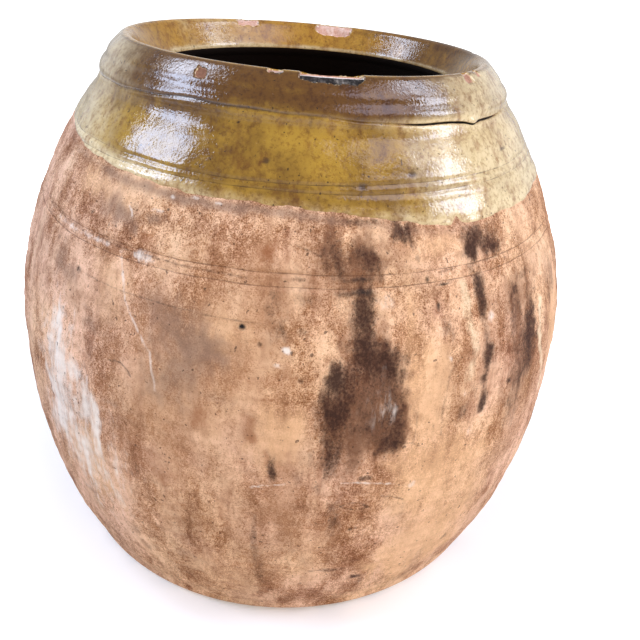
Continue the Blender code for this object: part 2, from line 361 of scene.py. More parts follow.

# %% [markdown]
# ## Where the years have marked the clay
# Damp, soot, rust, smoke, lime and pale runs lie on the wall as soft patches and strokes, read off the
# photograph as angles and heights. They could be painted on a picture, but then the finish would live
# outside this script. Here each kind is a mask on the points, and noise in the material breaks its
# edges up.

# %% Patches: angle, height in mm, half-width in degrees, half-height in mm, strength
PATCHES = {
    "umber": (
        (12, 240, 6.5, 52, 0.9), (9, 196, 3.5, 25, 0.55), (14.5, 230, 5.5, 34, 1.0),
        (35.5, 255, 3, 50, 0.4), (8, 312, 6, 22, 0.8), (-3, 326, 12, 12, 0.2), (17, 208, 4, 14, 0.6),
        (-2, 290, 4, 22, 0.4), (46, 236, 6.5, 48, 0.9), (48, 285, 5, 14, 0.55), (37, 318, 6, 9, 0.7),
        (12, 320, 6.5, 9, 0.55), (16, 333, 6, 8, 0.45), (-17, 210, 5, 22, 0.4), (-27, 165, 6, 20, 0.4),
        (-2, 262, 3, 22, 0.4), (-6, 212, 3, 16, 0.45), (-60, 285, 8, 22, 0.5), (9, 125, 3, 40, 0.4),
        (-4.5, 100, 2, 45, 0.45), (30, 215, 4, 22, 0.35), (-3, 305, 12, 10, 0.25),
        (-45, 90, 8, 18, 0.4), (62, 280, 6, 22, 0.45),
    ),
    "stain": (
        (6.5, 314, 2.2, 7, 0.8), (12.5, 316, 3, 7, 0.85), (9, 325, 5, 6, 0.45),
        (11.8, 284, 2.0, 20, 1.2), (11.8, 261, 4.2, 11, 0.75), (7.9, 238, 2.5, 22, 0.85),
        (6.8, 251, 1.5, 9, 0.9), (7.9, 214, 2.2, 18, 0.8), (7.4, 188, 1.5, 13, 0.95),
        (12.8, 242, 3.4, 17, 0.55), (16.4, 258, 2.4, 15, 0.6), (17.8, 234, 1.9, 28, 0.65),
        (15.2, 214, 3.4, 15, 0.55), (17.2, 199, 2.2, 8, 0.75), (11.8, 213, 1.8, 4, 0.5),
        (13.7, 171.5, 1.3, 2.4, 0.9), (5.2, 205, 1.4, 30, 0.35), (19.5, 331, 2.4, 8, 1.2),
        (12, 338, 5, 2, 0.7), (33.6, 321, 1.7, 10, 0.75), (37.5, 319, 5, 9, 0.95),
        (41, 313, 2.5, 4, 0.5), (34.4, 296, 1.6, 9, 0.7), (35.2, 281, 1.5, 8, 0.7),
        (36.4, 248, 1.8, 8, 0.75), (35.8, 213, 1.4, 8, 0.75), (48, 248, 4.2, 30, 0.70),
        (45.5, 212, 4, 20, 0.5), (49.8, 258, 2.4, 22, 0.7), (45, 185, 3.5, 18, 0.4),
        (48, 291, 2.4, 4, 0.55), (42.5, 262, 2.2, 22, 0.35), (31, 213, 1.3, 7, 0.75),
        (33, 226, 1, 7, 0.5), (27.5, 274, 2, 7, 0.5), (62, 270, 4, 14, 0.5), (42.5, 220, 0.7, 2, 0.8),
        (44.5, 283, 0.8, 4, 0.7), (2, 277, 1.3, 3, 0.7), (1.7, 247, 0.5, 1.6, 0.8),
        (-3.5, 292, 1.3, 9, 0.55), (-1.8, 274, 1.8, 8, 0.6), (-2.2, 186, 0.8, 9, 0.75),
        (-1.8, 175, 0.7, 6, 0.85), (0.7, 306, 1.5, 1.5, 0.6), (1.8, 295, 2, 4, 0.45),
        (-5, 268, 0.5, 1.6, 0.8), (9, 130, 1.6, 14, 0.55), (8.5, 150, 1.5, 8, 0.45),
        (5.5, 165, 0.7, 6, 0.65), (-4.8, 110, 0.7, 40, 0.5), (-3.5, 75, 0.9, 30, 0.45),
        (9.5, 75, 3.4, 3, 0.65), (15.4, 57, 1.4, 3.4, 0.95), (17, 49, 0.9, 8, 0.5),
        (36, 76, 1, 4, 0.65),
    ),
    "soot_and_shade": (
        (10, 306.5, 4.2, 1.8, 0.8), (10.4, 299.5, 4, 2.2, 0.9), (27, 299.8, 2.2, 1.0, 1.1),
        (27.5, 306.8, 2, 0.9, 0.8), (40, 308, 4, 1.0, 0.8), (25.3, 288, 0.5, 3.2, 1.0),
        (23.4, 304, 0.5, 2.2, 0.9), (22, 317, 0.6, 2.4, 0.8), (-8.2, 277, 0.55, 1.9, 1.6),
        (-42, 282.5, 0.9, 2.6, 0.9), (-42.5, 317, 0.6, 1.8, 0.8), (-51, 293, 0.8, 1.8, 0.8),
        (34.4, 294, 0.9, 9, 0.35), (35.2, 280, 0.9, 7, 0.35), (36.4, 248, 1.1, 7, 0.45),
        (35.8, 213, 0.9, 7, 0.45), (9.9, 228, 0.8, 16, 0.35), (12.2, 284, 0.8, 12, 0.30),
        (7.0, 200, 1.0, 12, 0.25), (38.5, 321, 2.4, 5, 0.3), (12.2, 124, 0.4, 2, 1),
        (13.2, 124.5, 0.35, 1.6, 0.9), (9.3, 135, 0.4, 1.4, 0.9), (15.4, 57, 0.8, 2, 0.7),
    ),
    "rust": (
        (-28, 316, 1.6, 4, 0.8), (-5, 317, 1.7, 5, 1), (-3.6, 324, 0.9, 4, 0.6),
        (-14.5, 212, 1.5, 12, 0.75), (-6, 212, 1.2, 10, 0.8), (-5.3, 203, 1, 5, 0.7),
        (-1.5, 246, 3, 7, 0.65), (-3, 233, 3.5, 1.4, 0.7), (-3, 190, 0.8, 8, 0.6),
        (-24, 172, 4, 12, 0.5), (-33, 213, 3, 4, 0.65), (0.5, 195, 1, 5, 0.5), (-20, 158, 6, 10, 0.45),
        (10.5, 146, 4.5, 14, 0.12), (20, 122, 3, 10, 0.35), (45, 200, 4, 30, 0.4),
    ),
    "smoke": (
        (-34, 330, 13, 13, 0.2), (-36, 324, 4.5, 8, 0.8), (-27, 327, 1.8, 3.2, 0.85),
        (-30.5, 317, 0.9, 4, 0.85), (-45, 276, 4, 8, 0.65), (-49, 280, 3, 9, 0.5),
        (-47, 290, 3, 6, 0.4), (-37, 253, 2.3, 6, 0.8), (-38, 262, 1.3, 2.5, 0.6),
        (-36, 234, 1.5, 13, 0.5), (-22, 277, 7, 14, 0.7), (-15, 262, 6, 13, 0.95),
        (-18, 245, 6, 12, 0.7), (-20, 225, 7, 14, 0.6), (-10, 229, 4, 6, 0.4), (-31, 203, 2, 3, 0.7),
        (-29, 85, 3.4, 9, 0.65), (-27, 68, 2.8, 5, 0.7), (-19, 79, 2.6, 5, 0.6),
        (-42, 100, 2.4, 5, 0.7), (-44, 126, 4, 5, 0.5), (10, 95, 2, 14, 0.4), (3, 100, 4, 30, 0.35),
        (2.5, 175, 1.2, 14, 0.5), (47, 95, 5, 12, 0.5),
    ),
    "lime": (
        (-45, 190, 7, 50, 0.75), (-38, 140, 9, 45, 0.70), (-47, 225, 5, 30, 0.55),
        (14, 232, 4, 22, 0.22), (-45.5, 241, 1.4, 8, 0.5), (-44, 221, 1.3, 12, 0.5),
        (-41, 213, 3.0, 5, 0.4), (-47.5, 162, 1.8, 26, 0.7), (-37.3, 198, 1.0, 17, 0.9),
        (-35.0, 174, 1.0, 19, 0.9), (-39.5, 140, 1.0, 22, 0.5), (-31, 156, 0.8, 11, 0.4),
        (-0.7, 265, 0.8, 2.1, 1.7), (-2, 255.5, 0.6, 1.6, 1.2), (-27.5, 305, 1.6, 4, 0.8),
        (-43, 304, 12, 1.6, 0.75), (37.3, 272, 0.8, 3.4, 1.1), (27.5, 254, 0.6, 2.5, 0.9),
        (31, 225, 0.6, 3, 0.8), (15, 295, 2.2, 5, 0.5), (33, 193, 0.8, 4, 0.5),
        (22.5, 158, 1.2, 3, 0.6), (-27, 331, 1.2, 1, 0.9), (-24.5, 340, 0.6, 1.2, 1),
        (-20, 342, 0.8, 0.9, 1), (-15, 341.5, 1, 0.9, 0.9), (16.5, 225, 1.2, 10, 0.4),
    ),
    "tan": (
        (-20, 200, 12, 40, 0.8), (-18, 262, 13, 40, 0.8), (-8, 310, 20, 20, 0.4), (-5, 265, 6, 55, 0.6),
        (1, 195, 4, 55, 0.5), (27, 240, 7, 30, 0.6), (-20, 130, 12, 40, 0.55), (-2, 125, 8, 50, 0.55),
        (8, 100, 5, 40, 0.45), (-10, 55, 14, 30, 0.55), (47, 200, 8, 60, 0.55), (45, 60, 12, 30, 0.55),
        (-50, 110, 14, 40, 0.5),
    ),
    "peach": (
        (-3, 205, 4.5, 25, 0.8), (-11, 272, 6, 18, 0.6), (22, 240, 6, 50, 0.8), (28, 160, 12, 40, 0.85),
        (-38, 140, 10, 45, 0.8), (24, 70, 9, 30, 0.7), (33, 90, 12, 40, 0.75), (1.5, 215, 2, 15, 0.8),
        (27, 322, 6, 10, 0.8), (-43, 334, 9, 9, 0.8), (63, 230, 6, 45, 0.9), (-33, 280, 6, 25, 0.55),
    ),
}

# %% Strokes: kind, half-width in mm, strength, points as angle and height in mm
STROKES = (
    ("lime", 1.2, 0.78, (
        (-32, 300), (-30.5, 287), (-29.5, 277), (-26, 260), (-23.5, 250), (-22.5, 235), (-22, 226),
    )),
    ("lime", 0.8, 0.9, ((-5.5, 164.5), (-3.5, 166.5), (0.3, 168.7))),
    ("lime", 0.8, 0.9, ((9.5, 169.5), (12, 169), (19, 163))),
    ("lime", 0.8, 0.8, ((-33.5, 329), (-32.6, 327), (-32.2, 324))),
    ("stain", 3.6, 0.58, (
        (33.2, 305), (34.8, 290), (35.2, 278), (35.5, 265), (36.4, 252), (36, 240), (35.2, 232),
    )),
    ("stain", 3.2, 0.6, ((35.2, 232), (35.7, 218), (35.3, 207))),
    ("soot_and_shade", 0.8, 0.6, ((-40, 282.2), (-30, 281.3), (-20, 281.8), (-12, 280.5), (-5, 280))),
    ("soot_and_shade", 0.9, 0.8, ((-31.5, 235), (-29, 236.5), (-27.5, 233), (-27, 229))),
    ("soot_and_shade", 0.8, 0.6, ((0, 324), (2, 322), (4.5, 319))),
    ("stain", 1.2, 0.45, ((29.8, 252), (27.5, 243), (26.5, 220), (26.7, 198))),
    ("stain", 1.1, 0.35, ((21.5, 232), (21.6, 210), (21.2, 198))),
    ("stain", 1.0, 0.35, ((18, 200), (21, 197), (24, 190))),
    ("stain", 0.9, 0.7, (
        (10, 147), (11.5, 150), (13.5, 148.5), (15, 144), (13, 142), (11, 144), (10, 147),
    )),
    ("stain", 0.9, 0.7, ((17, 153), (19, 151), (21.5, 145))),
    ("stain", 0.9, 0.6, ((-60, 306.5), (-40, 306), (-20, 305.3), (-8, 304.6))),
    ("cream", 5.0, 0.62, ((31, 297), (31.5, 280), (32.6, 265), (33, 250), (31.6, 236))),
    ("cream", 3.6, 0.85, ((54.5, 264), (53.5, 245), (54.4, 225), (57, 205), (60, 180))),
)
print(sum(len(patches) for patches in PATCHES.values()), "patches and", len(STROKES), "strokes")

# %% [markdown]
# The back of the jar isn't in the photograph. It could stay bare, but an old jar is marked all round, so
# it gets the front's marks, carried round to the back and drawn about a fifth larger and a third fainter.
# A smoky line follows the lower edge of the glaze, whose height round the jar is set here too.

# %% Masks on the wall; heights of the edge in mm
EDGE_ANGLES = (-180, -120, -75, -50, -35, -20, 0, 8, 15, 20, 25, 30, 40, 55, 70, 85, 120, 180)
EDGE_HEIGHTS = (
    346, 352, 354, 348, 345.5, 344, 344, 342, 338.5, 336.5, 333.5, 331.5, 331.5, 332, 336, 342, 350, 346,
)
NOTCH_ANGLE, NOTCH_HEIGHT = 31.6, 0.004
MM_PER_DEGREE = 3.9
SOFT_EDGE, FIRM_EDGE = 2, 3
BACK_ANGLE, BACK_WIDER, BACK_FAINTER = 172, 1.2, 0.7
BACK_SQUEEZE, BACK_RAISE = 0.8, 0.07


def glaze_edge(theta, points):
    """Height of the glaze's lower edge: straight between the heights above, with noise and a notch."""
    height = np.interp(theta, EDGE_ANGLES, EDGE_HEIGHTS) / 1000
    height = height + NOTCH_HEIGHT * near(theta, NOTCH_ANGLE, 0.8)
    return height + 0.0005 * waves(points, 0.022, 21) + 0.00014 * waves(points, 0.006, 22)


def soft_patches(theta, z, patches, power=SOFT_EDGE, streak=0.0, blot=0.0):
    """Sum of bells in angle and height: e to minus a power of the distance in half-widths. A power above
    2 makes the edge firmer; streak and blot are noise that shifts height and angle."""
    total = np.zeros(theta.shape)
    for angle, height, wide, tall, strength in patches:
        across = from_angle(theta, angle) / wide + blot
        along = (1000 * z - height) / tall + streak
        total += strength * np.exp(-(np.abs(across) ** power) - np.abs(along) ** power)
    return total


def smear(theta, z):
    """Noise of upright streaks, for brushed ends of a patch, and of blots, for sides that wander."""
    drawn_out, even = place(BELLY_RADIUS, 0.2 * z, theta), place(BELLY_RADIUS, z, theta)
    streak = 0.30 * waves(drawn_out, 0.016, 31) + 0.14 * waves(drawn_out, 0.006, 32)
    blot = 0.15 * waves(even, 0.030, 33) + 0.13 * waves(even, 0.009, 34)
    return streak, blot


def soft_stroke(theta, z, half, points):
    """A line along straight stretches: e to minus the cube of the distance to the nearest one, in
    half-widths."""
    nearest = np.full(theta.shape, np.inf)
    for (a0, h0), (a1, h1) in zip(points, points[1:]):
        run, climb = (a1 - a0) * MM_PER_DEGREE, h1 - h0
        across, along = from_angle(theta, a0) * MM_PER_DEGREE, 1000 * z - h0
        t = np.clip((across * run + along * climb) / (run**2 + climb**2), 0, 1)
        nearest = np.minimum(nearest, np.hypot(across - t * run, along - t * climb))
    return np.exp(-((nearest / half) ** 3))


def marks(theta, z):
    """Every mask of the patches and strokes at these angles and heights."""
    found = {}
    streak, blot = smear(theta, z)
    for kind, patches in PATCHES.items():
        power = FIRM_EDGE if kind == "stain" else SOFT_EDGE
        found[kind] = soft_patches(theta, z, patches, power, streak, blot)
    for kind, half, strength, points in STROKES:
        found[kind] = found.get(kind, 0) + strength * soft_stroke(theta, z, half, points)
    return found


def wall_masks(theta, z):
    """Marks of the front, their copy on the back, smoke under the glaze, painted shade in the open
    seam and scored lines.
    """
    front = marks(theta, z)
    back = marks(from_angle(theta, BACK_ANGLE) / BACK_WIDER, BACK_SQUEEZE * z + BACK_RAISE)
    masks = {kind: front[kind] + BACK_FAINTER * back[kind] for kind in front}
    below = glaze_edge(theta, place(outer_wall(z), z, theta)) - z
    masks["smoke"] += hump(below, 0.0035, 0.0034) * (0.3 + 0.7 * near(theta, -14, 34))
    # Painted shade in the open seam, added to the mask of soot.
    masks["soot_and_shade"] += crack_shade(theta, z)
    return masks | pair_masks(theta, z, BELLY_PAIR)


print("masks on the wall:", ", ".join(wall_masks(np.zeros((1, 1)), np.full((1, 1), BELLY_HEIGHT))))

# %% [markdown]
# ## Helpers for the materials
# Colours are sRGB hex values, turned to linear light by one function. Patterns read Object coordinates:
# every piece sits at the origin and is measured in metres, so noise of scale 1000 / d has features of
# about d millimetres, and it runs on from one section to the next. UV maps would serve too, but they
# would break at every joint.

# %% Node helpers
def linear(code):
    """Linear RGBA of an sRGB hex colour: a straight line near black and a power of 2.4 above it."""
    c = np.array([int(code[i:i + 2], 16) for i in (1, 3, 5)]) / 255
    return (*np.where(c <= 0.04045, c / 12.92, ((c + 0.055) / 1.055) ** 2.4), 1)


def new_material(name):
    """A new material with nodes, its tree and its shader."""
    material = bpy.data.materials.new(name)
    material.use_nodes = True
    return material, material.node_tree, material.node_tree.nodes["Principled BSDF"]


def add(tree, kind, inputs, out=0, **settings):
    """Adds a node with its settings, links or sets each named input, and gives one of its outputs."""
    made = tree.nodes.new("ShaderNode" + kind)
    for key, value in settings.items():
        setattr(made, key, value)
    for key, value in inputs.items():
        if isinstance(value, bpy.types.NodeSocket):
            tree.links.new(value, made.inputs[key])
        else:
            made.inputs[key].default_value = value
    return made.outputs[out]


def mottle(tree, size_mm, stretch=(1, 1, 1), detail=3, rough=0.55, shift=0.0):
    """Noise with features of about size_mm, drawn out along an axis by dividing its coordinate."""
    where = add(tree, "TexCoord", {}, "Object")
    scale = [1 / factor for factor in stretch]
    where = add(tree, "Mapping", {"Vector": where, "Location": (shift, 0, 0), "Scale": scale})
    pattern = {"Vector": where, "Scale": 1000 / size_mm, "Detail": detail, "Roughness": rough}
    return add(tree, "TexNoise", pattern)


def lay(tree, colour, cover, limits, strength, tint, mixing="MIX"):
    """Lays a tint over a colour where cover rises through its limits."""
    span = {0: cover, 1: limits[0], 2: limits[1], 4: strength}
    share = add(tree, "MapRange", span, interpolation_type="SMOOTHSTEP")
    return add(tree, "Mix", {0: share, 6: colour, 7: linear(tint)}, 2, data_type="RGBA", blend_type=mixing)


def ragged(tree, mask, size_mm, amount, stretch=(1, 1, 1)):
    """A stored mask with noise added where the mask is present, so that its edge breaks up."""
    stored = add(tree, "Attribute", {}, "Fac", attribute_name=mask)
    present = add(tree, "MapRange", {0: stored, 2: 0.3, 3: 0.0, 4: amount})
    noise = add(tree, "Math", {0: mottle(tree, size_mm, stretch, 8, 0.7), 1: 0.5}, operation="SUBTRACT")
    return add(tree, "Math", {0: noise, 1: present, 2: stored}, operation="MULTIPLY_ADD")


def score_darkening(tree, half_mm):
    """Near 1 on the scored lines, and thinning out by turns, from the pair's masks."""
    score = add(tree, "Attribute", {}, "Fac", attribute_name="score")
    middle = add(tree, "Math", {0: score}, operation="ABSOLUTE")
    half = add(tree, "Attribute", {}, "Fac", attribute_name="score_half")
    away = add(tree, "Math", {0: middle, 1: half}, operation="SUBTRACT")
    away = add(tree, "Math", {0: away}, operation="ABSOLUTE")
    away = add(tree, "Math", {0: mottle(tree, 9, detail=5), 1: 1.2, 2: away}, operation="MULTIPLY_ADD")
    return add(tree, "MapRange", {0: away, 1: half_mm, 2: 2.6 * half_mm, 3: 1.0, 4: 0.0})


print("mid grey #808080 is", round(float(linear("#808080")[0]), 3), "in linear light")

# %% [markdown]
# ### Terracotta
# Low-fired earthenware: a porous body with no gloss, so light only scatters from it. The colour drifts
# between peach, pink and tan over a hand's breadth, is clouded by the centimetre, streaked downwards by
# damp, ringed by the wet hand that smoothed it and freckled with grog by the millimetre, more in some
# places than in others. The marks of the masks lie on top, the dark ones once as a soft stain and once as
# grains. All this could be painted by hand, but layers of noise have no seam and hold up close by. Where
# the clay is broken it is pinker and more even.

# %% Terracotta material
PATCHY_BELOW = 3  # mm: finer layers than this come and go in patches


def terracotta(name, base, pink, clouds, grain):
    """Dull clay that drifts from base to pink; clouds and grain scale the strength of its layers."""
    material, tree, shader = new_material(name)
    patchy = mottle(tree, 26, (1, 1, 2), 5, 0.6, 0.4)
    colour = lay(tree, linear(base), mottle(tree, 110), (0.36, 0.64), 1.0, pink)
    layers = (  # size in mm, stretch, detail, roughness, shift, limits, strength, tint, mixing
        (50, (1, 1, 1.3), 6, 0.62, 0.3, (0.45, 0.70), 0.60 * clouds, "#AE886B", "MIX"),
        (24, (1, 1, 3), 6, 0.60, 0.7, (0.50, 0.72), 0.45 * clouds, "#EFCBA6", "MIX"),
        (15, (1, 1, 4.5), 7, 0.68, 0.0, (0.47, 0.72), 0.78 * clouds, "#A8836A", "MULTIPLY"),
        (8, (1, 1, 1.5), 8, 0.78, 0.5, (0.47, 0.70), 0.70 * clouds, "#A8866E", "MULTIPLY"),
        (3, (9, 9, 1), 4, 0.60, 0.1, (0.50, 0.72), 0.20 * clouds, "#B09480", "MULTIPLY"),
        (2.4, (1, 1, 1.3), 5, 0.80, 0.2, (0.76, 1.04), 0.62 * grain, "#B08D66", "MULTIPLY"),
        (0.9, (1, 1, 1), 2, 0.60, 0.8, (0.82, 1.06), 0.70 * grain, "#9A764E", "MULTIPLY"),
    )
    for size, stretch, detail, rough, shift, limits, strength, tint, mixing in layers:
        cover = mottle(tree, size, stretch, detail, rough, shift)
        if size < PATCHY_BELOW:
            cover = add(tree, "Math", {0: patchy, 1: 0.7, 2: cover}, operation="MULTIPLY_ADD")
        colour = lay(tree, colour, cover, limits, strength, tint, mixing)
    finishes = (  # mask, size of its ragged edge in mm, how ragged, stretch, limits, strength, tint
        ("tan", 30, 0.9, (1, 1, 2), (0.10, 1.0), 0.60, "#AE8160"),
        ("peach", 26, 0.9, (1, 1, 2), (0.10, 1.0), 0.65, "#EBBE94"),
        ("umber", 12, 1.4, (1, 1, 3), (0.08, 1.2), 0.74, "#83593F"),
        ("umber", 2.2, 3.2, (1, 1, 1.5), (0.45, 1.7), 0.60, "#5E3C2A"),
        ("smoke", 12, 1.2, (1, 1, 1.5), (0.08, 1.2), 0.72, "#83695A"),
        ("rust", 12, 1.2, (1, 1, 1.5), (0.10, 1.1), 0.75, "#8E5735"),
        ("stain", 6, 2.0, (1, 1, 2.5), (0.08, 1.35), 0.86, "#4A2D20"),
        ("stain", 1.8, 5.0, (1, 1, 1.2), (0.35, 1.7), 0.75, "#2A1813"),
        # Soot, and painted shade in the open seam.
        ("soot_and_shade", 5, 1.5, (1, 1, 2), (0.15, 1.3), 1.0, "#1E1A1A"),
        ("cream", 7, 1.9, (1, 1, 2.5), (0.20, 1.1), 0.75, "#F1DDBC"),
        ("lime", 5, 3.0, (1, 1, 4), (0.15, 1.5), 0.85, "#F1E7DF"),
    )
    for mask, size, amount, stretch, limits, strength, tint in finishes:
        colour = lay(tree, colour, ragged(tree, mask, size, amount, stretch), limits, strength, tint)
    colour = lay(tree, colour, score_darkening(tree, 0.45), (0, 1), 0.7, "#5B3B2A")
    specks = mottle(tree, 3.2, detail=2, rough=0.4, shift=0.9)
    colour = lay(tree, colour, specks, (0.70, 0.74), 0.7, "#3F281D")
    # Painted shade: where 'inside' is set, inside the jar, the clay is coloured near black.
    inside = add(tree, "Attribute", {}, "Fac", attribute_name="inside")
    colour = lay(tree, colour, inside, (0, 1), 1.0, "#1A100B")
    tree.links.new(colour, shader.inputs["Base Color"])
    shader.inputs["Roughness"].default_value = 0.86
    shader.inputs["Specular IOR Level"].default_value = 0.25
    coarse = mottle(tree, 7, detail=5, rough=0.65)
    relief = add(tree, "Math", {0: mottle(tree, 1.4, detail=4, rough=0.7), 1: coarse}, operation="ADD")
    bump = add(tree, "Bump", {"Height": relief, "Strength": 0.4, "Distance": 0.0009})
    tree.links.new(bump, shader.inputs["Normal"])
    return material


# To the eye, weathered clay is dull, warm and blotchy, and broken clay an even, dusty pink.
weathered = terracotta("weathered terracotta", "#F4CBA6", "#EEC4A9", 0.88, 1.25)
broken = terracotta("broken terracotta", "#CFA08C", "#D8AC9B", 0.35, 0.45)
print("clay materials with", len(weathered.node_tree.nodes), "nodes each")

# %% [markdown]
# ### Lead glaze
# A glassy film stained by iron: amber where it lies thick on the collar, olive on the shoulder, and
# straw-coloured where it ran thin. It is glossy with a slight orange-peel, so that highlights break up
# into sparks at their edges. Clear glass over coloured clay could be traced too, but the colour is in the
# glass itself, so one glossy layer does.

# %% Glaze material
def lead_glaze(name):
    """Glossy iron-stained glass: the tones of the masks, then mottling, specks, darker scores and pits."""
    material, tree, shader = new_material(name)
    colour = lay(tree, linear("#7A5815"), mottle(tree, 34, detail=6), (0.34, 0.66), 1.0, "#A68129")
    colour = lay(tree, colour, ragged(tree, "gold", 15, 0.8), (0.05, 1.0), 0.90, "#B9842C")
    colour = lay(tree, colour, ragged(tree, "amber", 20, 1.2), (0.05, 0.9), 0.95, "#5B380D")
    # Straw for thin glaze, plus a painted sheen on a roll and a partly painted highlight at the throat.
    colour = lay(tree, colour, ragged(tree, "thin_and_sheen", 18, 1.0), (0.10, 0.95), 0.95, "#DFCBA1")
    layers = (  # size in mm, stretch, detail, roughness, shift, limits, strength, tint
        (11, (1, 1, 2.5), 6, 0.65, 0.4, (0.48, 0.70), 0.65, "#A8784A"),
        (3.5, (1, 1, 1), 5, 0.75, 0.1, (0.46, 0.66), 0.60, "#A88658"),
        (2.2, (1, 1, 1), 2, 0.40, 0.9, (0.69, 0.74), 0.80, "#4A3014"),
    )
    for size, stretch, detail, rough, shift, limits, strength, tint in layers:
        cover = mottle(tree, size, stretch, detail, rough, shift)
        colour = lay(tree, colour, cover, limits, strength, tint, "MULTIPLY")
    colour = lay(tree, colour, score_darkening(tree, 0.4), (0, 1), 0.75, "#3F2A10")
    colour = lay(tree, colour, ragged(tree, "pit", 3, 0.8), (0.2, 0.9), 0.85, "#3A2413")
    tree.links.new(colour, shader.inputs["Base Color"])
    worn = mottle(tree, 6, detail=6, rough=0.75, shift=0.6)
    gloss = add(tree, "MapRange", {0: worn, 1: 0.44, 2: 0.72, 3: 0.07, 4: 0.32})
    tree.links.new(gloss, shader.inputs["Roughness"])
    shader.inputs["IOR"].default_value = 1.62
    fine = mottle(tree, 1.7, detail=2, rough=0.5)
    peel = add(tree, "Math", {0: mottle(tree, 6, detail=3), 1: 0.5, 2: fine}, operation="MULTIPLY_ADD")
    bump = add(tree, "Bump", {"Height": peel, "Strength": 0.5, "Distance": 0.0004})
    tree.links.new(bump, shader.inputs["Normal"])
    return material


amber_glaze = lead_glaze("amber lead glaze")
print("glaze material with", len(amber_glaze.node_tree.nodes), "nodes")

# %% [markdown]
# ## Walls
# Each section is one closed ring: dense rows down the outside, then the hidden lap joint, a few rows up
# the inside and the joint on top. One solid could be the whole wall, but the potter built it in sections
# and smoothed the joints over, so the sections meet edge to edge on the outside.

# %% Wall sections
HIDDEN_GAP, REBATE_RADIUS = 0.0003, 0.1495
WALL_ROWS, WALL_COLUMNS, SHOULDER_COLUMNS = 112, 760, 840
SEAM_ROWS_REACH = 0.003
LOWER_INSIDE, BELLY_INSIDE, SHOULDER_INSIDE = 0.032, 0.182, 0.316


def lap_rows(height, gap):
    """The half-lap joint of the frame, from the middle of the wall to its inner face."""
    middle = float(outer_wall(height) + inner_wall(height)) / 2 + gap
    low, high = height + gap, height + LAP + gap
    return np.array([(middle, low), (middle, high), (float(inner_wall(high)), high)])


def wall_section(name, skin, hidden, columns, node):
    """A closed ring: its outer skin from top to bottom, and its hidden faces back to the top."""
    theta = turn_grid(columns, len(skin) + len(hidden))
    z = np.broadcast_to(np.r_[skin[:, 1], hidden[:, 1]][:, None], theta.shape)
    outside = thrown(skin[:, :1], skin[:, 1:], theta[:len(skin)])
    back = thrown(hidden[:, :1], hidden[:, 1:], theta[len(skin):], face=False)
    masks = wall_masks(theta, z)
    # Painted shade on the rows up the inside: darker towards the top, under the throat.
    interior_shade = 0.70 + 0.30 * smooth_step(hidden[:, 1], 0.24, 0.34)
    masks["inside"] = np.r_[np.zeros(len(skin)), interior_shade][:, None]
    sharp = [0, *range(len(skin) - 1, len(z))]
    mesh = grid_mesh(name, np.concatenate([outside, back]), masks, sharp_rows=sharp)
    add_piece(mesh, weathered, node)


def inside_rows(low, high, count):
    """Rows up the inner face."""
    return rows_between((low, high), (count,), inner_wall)


lower_back = np.vstack([
    lap_rows(SLAB_JOINT, HIDDEN_GAP),
    inside_rows(LOWER_INSIDE, LOWER_JOINT, 10),
    lap_rows(LOWER_JOINT, 0)[::-1],
])
belly_back = np.vstack([
    lap_rows(LOWER_JOINT, HIDDEN_GAP),
    inside_rows(BELLY_INSIDE, BAND_JOINT, 10),
    lap_rows(BAND_JOINT, 0)[::-1],
])
shoulder_back = np.vstack([
    lap_rows(BAND_JOINT, HIDDEN_GAP),
    inside_rows(SHOULDER_INSIDE, NECK_FOOT, 8),
    [(REBATE_RADIUS, NECK_FOOT)],
])
lower_skin = rows_between((LOWER_JOINT, SLAB_JOINT), (WALL_ROWS,))
belly_skin = rows_between((BAND_JOINT, LOWER_JOINT), (WALL_ROWS,))
shoulder_skin = rows_between((SEAM, SEAM - SEAM_ROWS_REACH, BAND_JOINT), (9, 86))
wall_section("thrown_lower_wall", lower_skin, lower_back, WALL_COLUMNS, "lower_wall")
wall_section("thrown_belly", belly_skin, belly_back, WALL_COLUMNS, "belly_wall")
wall_section(
    "thrown_shoulder", shoulder_skin, shoulder_back, SHOULDER_COLUMNS, "shoulder_wall",
)

# %% [markdown]
# The slab under them is a disc with a flat underside, a rounded heel and a raised centre that is the
# jar's floor. It ends in a pole above and a pole below. A plain cylinder would have neither the heel nor
# the step on which the wall stands.

# %% Base slab
HEEL_ROUNDING, POLE_RING = 0.012, 0.10
heel = np.radians(np.linspace(90, 0, 14))
slab_face = np.vstack([
    rows_between((SLAB_JOINT, HEEL_HEIGHT + 0.0005), (3,), outer_wall),
    np.stack([HEEL_RADIUS - HEEL_ROUNDING * (1 - np.sin(heel)), HEEL_HEIGHT * (1 - np.cos(heel))], 1),
])
slab_step = lap_rows(SLAB_JOINT, 0)[1::-1]
slab_outline = np.vstack([[(POLE_RING, FLOOR)], slab_step, slab_face, [(POLE_RING, 0)]])
theta = turn_grid(WALL_COLUMNS, len(slab_outline))
slab_rows = thrown(slab_outline[:, :1], slab_outline[:, 1:], theta, face=False)
slab_masks = wall_masks(theta, np.broadcast_to(slab_outline[:, 1:], theta.shape))
# Painted shade: the jar's floor inside is coloured dark.
slab_masks["inside"] = np.where(slab_outline[:, 1:] > SLAB_JOINT, 0.70, 0.0)
slab_poles = [(0, 0, FLOOR), (0, 0, 0)]
slab = grid_mesh("thrown_base", slab_rows, slab_masks, poles=slab_poles, sharp_rows=[1, 2, 3])
add_piece(slab, weathered, "base_slab")

# %% [markdown]
# ## Rim
# The neck makes the throat, a rounded lip and the sloping bevel inside the mouth; the collar makes the
# crest and the outer face. Knocks have flaked the edge. A chip could be cut with another solid, but
# flakes are shallow, so each one presses the surface towards the middle of the rim's section, with a
# ragged outline.

